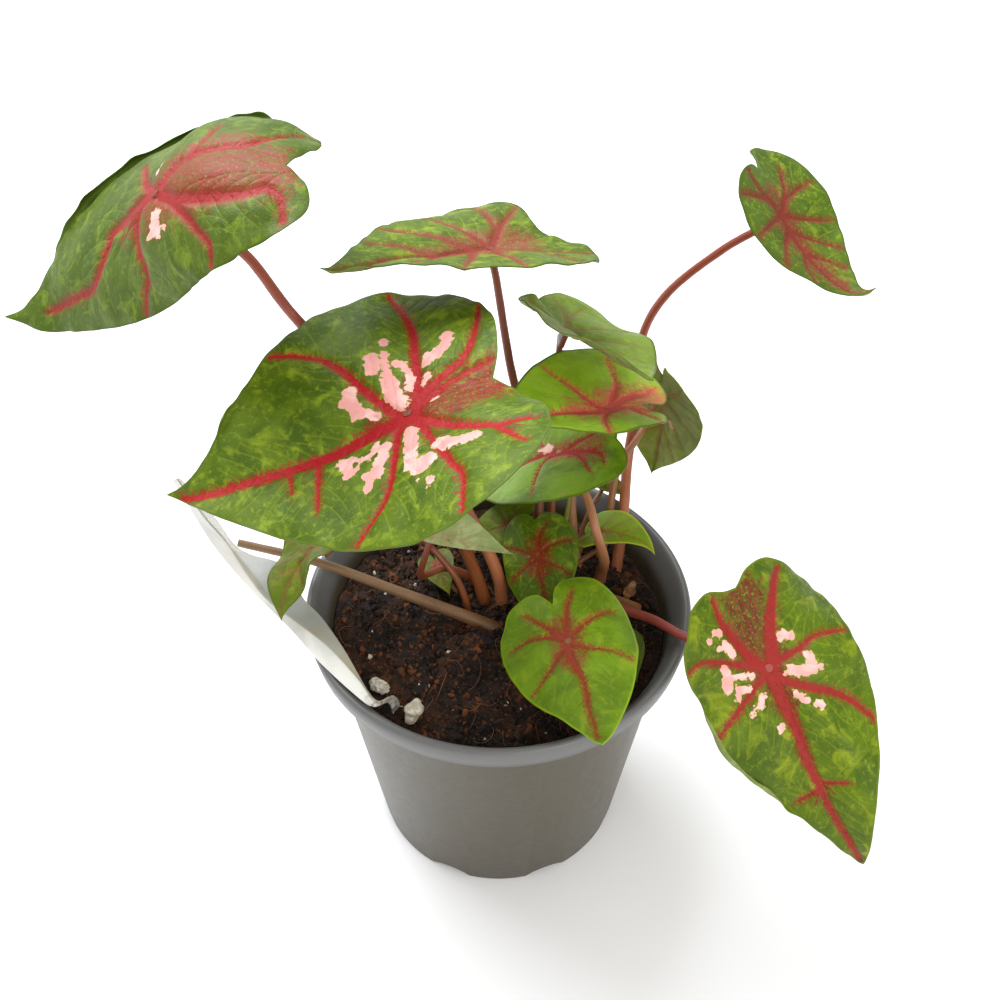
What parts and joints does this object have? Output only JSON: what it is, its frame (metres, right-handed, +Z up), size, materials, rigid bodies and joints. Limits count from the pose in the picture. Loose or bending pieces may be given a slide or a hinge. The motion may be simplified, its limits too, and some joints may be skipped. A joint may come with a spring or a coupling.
{
  "type": "potted caladium plant",
  "caption": "Leafy arum-family house plant with arching stalks and heart-shaped blades, growing in a round soil-filled nursery pot with a turned-out lip and a bent plant label.",
  "frame": {"origin": "centre of the pot's base, on the surface it stands on", "axes": "+Z up, -Y towards the side the plant is seen from, +X to the right from there"},
  "size_m": [0.2474, 0.1483, 0.2417],
  "materials": {
    "pot_plastic": "satin grey",
    "soil": "dark potting mix",
    "tuber_skin": "rough brown skin",
    "blade_green": "satin leaf, green with red veins",
    "blade_young": "satin leaf, bright young green",
    "stalk_pink": "smooth pinkish stalk",
    "stalk_brown": "smooth reddish brown stalk",
    "stalk_tan": "smooth tan stalk",
    "rolled_green": "satin, rolled young leaf",
    "label_plastic": "cream, slightly see-through",
    "perlite": "white, rough",
    "bark": "tan chip, rough"
  },
  "bodies": {
    "root": {"pot": "pot_plastic", "soil": "soil", "tuber": "tuber_skin", "leaf_far_left_blade": "blade_green", "leaf_far_left_stalk": "stalk_pink", "leaf_front_left_blade": "blade_green", "leaf_front_left_stalk": "stalk_brown", "leaf_back_blade": "blade_green", "leaf_back_stalk": "stalk_brown", "leaf_far_right_blade": "blade_green", "leaf_far_right_stalk": "stalk_pink", "leaf_upper_middle_blade": "blade_green", "leaf_upper_middle_stalk": "stalk_brown", "leaf_middle_right_blade": "blade_green", "leaf_middle_right_stalk": "stalk_tan", "leaf_middle_blade": "blade_green", "leaf_middle_stalk": "stalk_pink", "leaf_behind_right_blade": "blade_green", "leaf_behind_right_stalk": "stalk_tan", "leaf_far_front_right_blade": "blade_green", "leaf_far_front_right_stalk": "stalk_pink", "leaf_front_blade": "blade_young", "leaf_front_stalk": "stalk_tan", "leaf_front_inner_blade": "blade_young", "leaf_front_inner_stalk": "stalk_tan", "leaf_inner_left_blade": "blade_young", "leaf_inner_left_stalk": "stalk_tan", "leaf_turned_back_blade": "blade_young", "leaf_turned_back_stalk": "stalk_brown", "leaf_inner_right_blade": "blade_young", "leaf_inner_right_stalk": "stalk_tan", "leaf_over_rim_blade": "blade_green", "leaf_over_rim_stalk": "stalk_brown", "leaf_behind_rim_blade": "blade_green", "leaf_behind_rim_stalk": "stalk_tan", "leaf_under_front_blade": "blade_young", "leaf_under_front_stalk": "stalk_tan", "leaf_low_left_blade": "blade_young", "leaf_low_left_stalk": "stalk_tan", "cut_stalk": "stalk_tan", "stalk_stub": "stalk_pink", "rolled_leaf": "rolled_green", "perlite_front": "perlite", "perlite_left": "perlite", "bark_chip": "bark", "plant_label": "label_plastic"}
  },
  "joints": []
}
